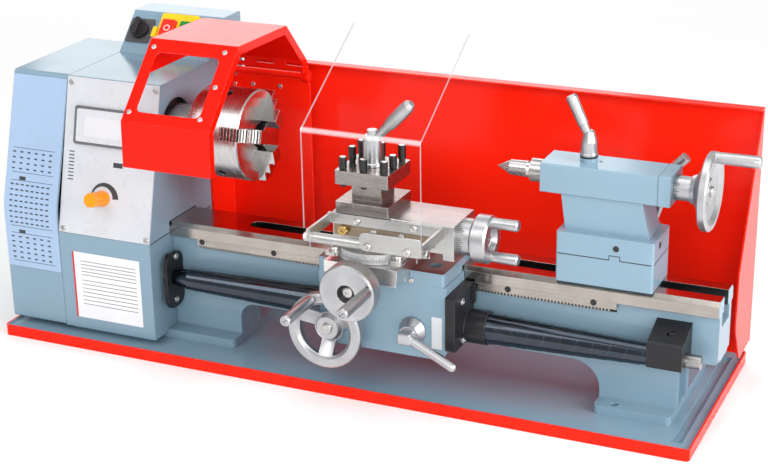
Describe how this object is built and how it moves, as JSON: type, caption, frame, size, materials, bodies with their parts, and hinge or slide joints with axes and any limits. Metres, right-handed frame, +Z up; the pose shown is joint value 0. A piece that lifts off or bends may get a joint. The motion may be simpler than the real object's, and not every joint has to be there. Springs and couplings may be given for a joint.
{
  "type": "bench lathe",
  "caption": "Bench metal lathe on a chip tray: geared headstock with chuck and swing guard, carriage with compound slide and toolpost, tailstock, leadscrew and splash guard.",
  "frame": {"origin": "middle of the four bench bolts, on the underside of the chip tray", "axes": "+X from the headstock to the tailstock along the bed, +Y to the splash guard at the back, +Z up"},
  "size_m": [0.906, 0.3965, 0.4228],
  "materials": {
    "red_paint": "gloss",
    "grey_paint": "satin",
    "panel_sheet": "satin",
    "ground_iron": "ground",
    "bright_steel": "machined",
    "dark_steel": "blued",
    "polished_alloy": "polished",
    "black_plastic": "matte",
    "yellow_plastic": "gloss",
    "red_plastic": "gloss",
    "green_plastic": "gloss",
    "clear_sheet": "clear",
    "belt_rubber": "matte"
  },
  "bodies": {
    "frame": {"chip_tray": "red_paint", "splash_guard": "red_paint", "guard_back_panel": "red_paint", "bed": "grey_paint", "feed_rack": "ground_iron", "headstock_base": "grey_paint", "headstock_cover": "grey_paint", "control_panel": "panel_sheet", "display_unit": "black_plastic", "gear_cover": "grey_paint", "switch_box": "grey_paint", "switch_plate": "yellow_plastic", "headstock_casting": "ground_iron", "drive_motor": "dark_steel", "drive_belt": "belt_rubber", "leadscrew_flange": "black_plastic", "leadscrew_bracket": "dark_steel", "leadscrew_cover_left": "dark_steel", "leadscrew_cover_right": "dark_steel"},
    "spindle": {"spindle": "bright_steel", "spindle_pulley": "bright_steel", "chuck_body": "bright_steel"},
    "jaw_1": {"chuck_jaw_1": "bright_steel"},
    "jaw_2": {"chuck_jaw_2": "bright_steel"},
    "jaw_3": {"chuck_jaw_3": "bright_steel"},
    "motor_rotor": {"motor_pulley": "bright_steel"},
    "idler": {"idler_gear": "bright_steel"},
    "leadscrew": {"leadscrew": "bright_steel"},
    "carriage": {"saddle": "grey_paint", "apron": "grey_paint", "apron_flange": "black_plastic"},
    "apron_wheel": {"apron_handwheel": "polished_alloy"},
    "apron_grip": {"apron_grip": "bright_steel"},
    "rack_pinion": {"rack_pinion": "bright_steel"},
    "half_nut_lever": {"half_nut_lever": "bright_steel"},
    "cross_slide": {"cross_slide": "ground_iron"},
    "cross_wheel": {"cross_handwheel": "polished_alloy"},
    "cross_grip": {"cross_grip": "bright_steel"},
    "compound": {"compound_base": "ground_iron"},
    "top_slide": {"top_slide": "bright_steel", "shield_bracket": "bright_steel"},
    "top_wheel": {"top_slide_handwheel": "polished_alloy"},
    "toolpost": {"toolpost": "bright_steel", "toolpost_screws": "dark_steel"},
    "toolpost_lever": {"toolpost_lever": "bright_steel"},
    "shield": {"shield_rod": "bright_steel", "tool_shield": "clear_sheet"},
    "tailstock": {"tailstock_base": "grey_paint", "tailstock_body": "grey_paint"},
    "quill": {"tailstock_quill": "bright_steel", "dead_centre": "bright_steel"},
    "tail_wheel": {"tailstock_handwheel": "polished_alloy"},
    "quill_lever": {"quill_lever": "bright_steel"},
    "lock_lever": {"tailstock_lock_lever": "bright_steel"},
    "chuck_guard": {"chuck_guard": "red_paint", "guard_window": "clear_sheet"},
    "speed_knob": {"speed_knob": "yellow_plastic"},
    "selector_knob": {"selector_knob": "black_plastic"},
    "stop_button": {"stop_button": "red_plastic"},
    "start_button": {"start_button": "green_plastic"}
  },
  "joints": [
    {"name": "spindle_spin", "type": "hinge", "parent": "frame", "child": "spindle", "pos_m": [-0.3, -0.036, 0.2685], "axis": [1, 0, 0], "continuous": true},
    {"name": "jaw_1_slide", "type": "slide", "parent": "spindle", "child": "jaw_1", "axis": [0, -0.9613, 0.2756], "range_m": [-0.01, 0.01]},
    {"name": "jaw_2_slide", "type": "slide", "parent": "spindle", "child": "jaw_2", "axis": [0, 0.2419, -0.9703], "range_m": [-0.01, 0.01]},
    {"name": "jaw_3_slide", "type": "slide", "parent": "spindle", "child": "jaw_3", "axis": [0, 0.7193, 0.6947], "range_m": [-0.01, 0.01]},
    {"name": "motor_spin", "type": "hinge", "parent": "frame", "child": "motor_rotor", "pos_m": [-0.35, 0.075, 0.205], "axis": [1, 0, 0], "continuous": true},
    {"name": "idler_spin", "type": "hinge", "parent": "frame", "child": "idler", "pos_m": [-0.413, -0.03521, 0.1725], "axis": [1, 0, 0], "continuous": true},
    {"name": "leadscrew_spin", "type": "hinge", "parent": "frame", "child": "leadscrew", "pos_m": [0, -0.08, 0.091], "axis": [1, 0, 0], "continuous": true},
    {"name": "carriage_slide", "type": "slide", "parent": "frame", "child": "carriage", "axis": [1, 0, 0], "range_m": [-0.064, 0.06], "deforming": ["leadscrew_cover_left", "leadscrew_cover_right"]},
    {"name": "apron_wheel_turn", "type": "hinge", "parent": "carriage", "child": "apron_wheel", "pos_m": [0.017, -0.14, 0.087], "axis": [0, 1, 0], "range_deg": [-1106, 1036]},
    {"name": "apron_grip_spin", "type": "hinge", "parent": "apron_wheel", "child": "apron_grip", "pos_m": [0.0025, -0.18, 0.123], "axis": [0, 1, 0], "continuous": true},
    {"name": "rack_pinion_turn", "type": "hinge", "parent": "carriage", "child": "rack_pinion", "pos_m": [0.03372, -0.09, 0.11775], "axis": [0, 1, 0], "range_deg": [-310, 332]},
    {"name": "half_nut_engage", "type": "hinge", "parent": "carriage", "child": "half_nut_lever", "pos_m": [0.115, -0.13, 0.094], "axis": [0, -1, 0], "range_deg": [0, 40]},
    {"name": "cross_slide_travel", "type": "slide", "parent": "carriage", "child": "cross_slide", "axis": [0, 1, 0], "range_m": [0, 0.036]},
    {"name": "cross_wheel_turn", "type": "hinge", "parent": "carriage", "child": "cross_wheel", "pos_m": [0.069, -0.185, 0.159], "axis": [0, 1, 0], "range_deg": [-1, 6481]},
    {"name": "cross_grip_spin", "type": "hinge", "parent": "cross_wheel", "child": "cross_grip", "pos_m": [0.0955, -0.23, 0.166], "axis": [0, 1, 0], "continuous": true},
    {"name": "compound_swivel", "type": "hinge", "parent": "cross_slide", "child": "compound", "pos_m": [0.069, -0.1105, 0.185], "axis": [0, 0, 1], "range_deg": [-20, 20]},
    {"name": "top_slide_travel", "type": "slide", "parent": "compound", "child": "top_slide", "axis": [1, 0, 0], "range_m": [-0.015, 0.015]},
    {"name": "top_wheel_turn", "type": "hinge", "parent": "top_slide", "child": "top_wheel", "pos_m": [0.19, -0.1105, 0.21], "axis": [1, 0, 0], "range_deg": [-2701, 2701]},
    {"name": "toolpost_index", "type": "hinge", "parent": "top_slide", "child": "toolpost", "pos_m": [0.065, -0.1125, 0.252], "axis": [0, 0, 1], "continuous": true},
    {"name": "toolpost_clamp", "type": "hinge", "parent": "top_slide", "child": "toolpost_lever", "pos_m": [0.065, -0.1125, 0.296], "axis": [0, 0, 1], "range_deg": [-30, 60]},
    {"name": "shield_tilt", "type": "hinge", "parent": "top_slide", "child": "shield", "pos_m": [0.09, -0.192, 0.2175], "axis": [1, 0, 0], "range_deg": [0, 70]},
    {"name": "tailstock_slide", "type": "slide", "parent": "frame", "child": "tailstock", "axis": [1, 0, 0], "range_m": [-0.03, 0.06]},
    {"name": "quill_travel", "type": "slide", "parent": "tailstock", "child": "quill", "axis": [-1, 0, 0], "range_m": [-0.014, 0.04]},
    {"name": "tail_wheel_turn", "type": "hinge", "parent": "tailstock", "child": "tail_wheel", "pos_m": [0.41, -0.036, 0.2685], "axis": [-1, 0, 0], "range_deg": [-2521, 7201]},
    {"name": "quill_clamp", "type": "hinge", "parent": "tailstock", "child": "quill_lever", "pos_m": [0.286, -0.036, 0.3], "axis": [0, 0, 1], "range_deg": [-60, 40]},
    {"name": "tailstock_lock", "type": "hinge", "parent": "tailstock", "child": "lock_lever", "pos_m": [0.345, 0.011, 0.201], "axis": [0, 1, 0], "range_deg": [-40, 14]},
    {"name": "guard_swing", "type": "hinge", "parent": "frame", "child": "chuck_guard", "pos_m": [-0.169, 0.092, 0.307], "axis": [-1, 0, 0], "range_deg": [0, 80]},
    {"name": "speed_turn", "type": "hinge", "parent": "frame", "child": "speed_knob", "pos_m": [-0.296, -0.10231, 0.18825], "axis": [0, -0.9695, 0.245], "range_deg": [-135, 135]},
    {"name": "selector_turn", "type": "hinge", "parent": "frame", "child": "selector_knob", "pos_m": [-0.337, 0.0698, 0.34986], "axis": [0, -0.723, 0.6909], "range_deg": [-45, 45]},
    {"name": "stop_press", "type": "slide", "parent": "frame", "child": "stop_button", "axis": [0, 0.723, -0.6909], "range_m": [0, 0.003], "stiffness_N_per_m": 400, "springref_m": -0.002},
    {"name": "start_press", "type": "slide", "parent": "frame", "child": "start_button", "axis": [0, 0.723, -0.6909], "range_m": [0, 0.003], "stiffness_N_per_m": 400, "springref_m": -0.002}
  ],
  "couplings": [
    {"joint": "jaw_2_slide", "follows": "jaw_1_slide", "ratio": 1},
    {"joint": "jaw_3_slide", "follows": "jaw_1_slide", "ratio": 1},
    {"joint": "motor_spin", "follows": "spindle_spin", "ratio": 2},
    {"joint": "idler_spin", "follows": "spindle_spin", "ratio": -0.45455},
    {"joint": "leadscrew_spin", "follows": "spindle_spin", "ratio": 1.1111},
    {"joint": "apron_wheel_turn", "follows": "carriage_slide", "rad_per_m": 300},
    {"joint": "rack_pinion_turn", "follows": "carriage_slide", "rad_per_m": -88.889},
    {"joint": "cross_wheel_turn", "follows": "cross_slide_travel", "rad_per_m": 3141.6},
    {"joint": "top_wheel_turn", "follows": "top_slide_travel", "rad_per_m": 3141.6},
    {"joint": "tail_wheel_turn", "follows": "quill_travel", "rad_per_m": 3141.6}
  ]
}
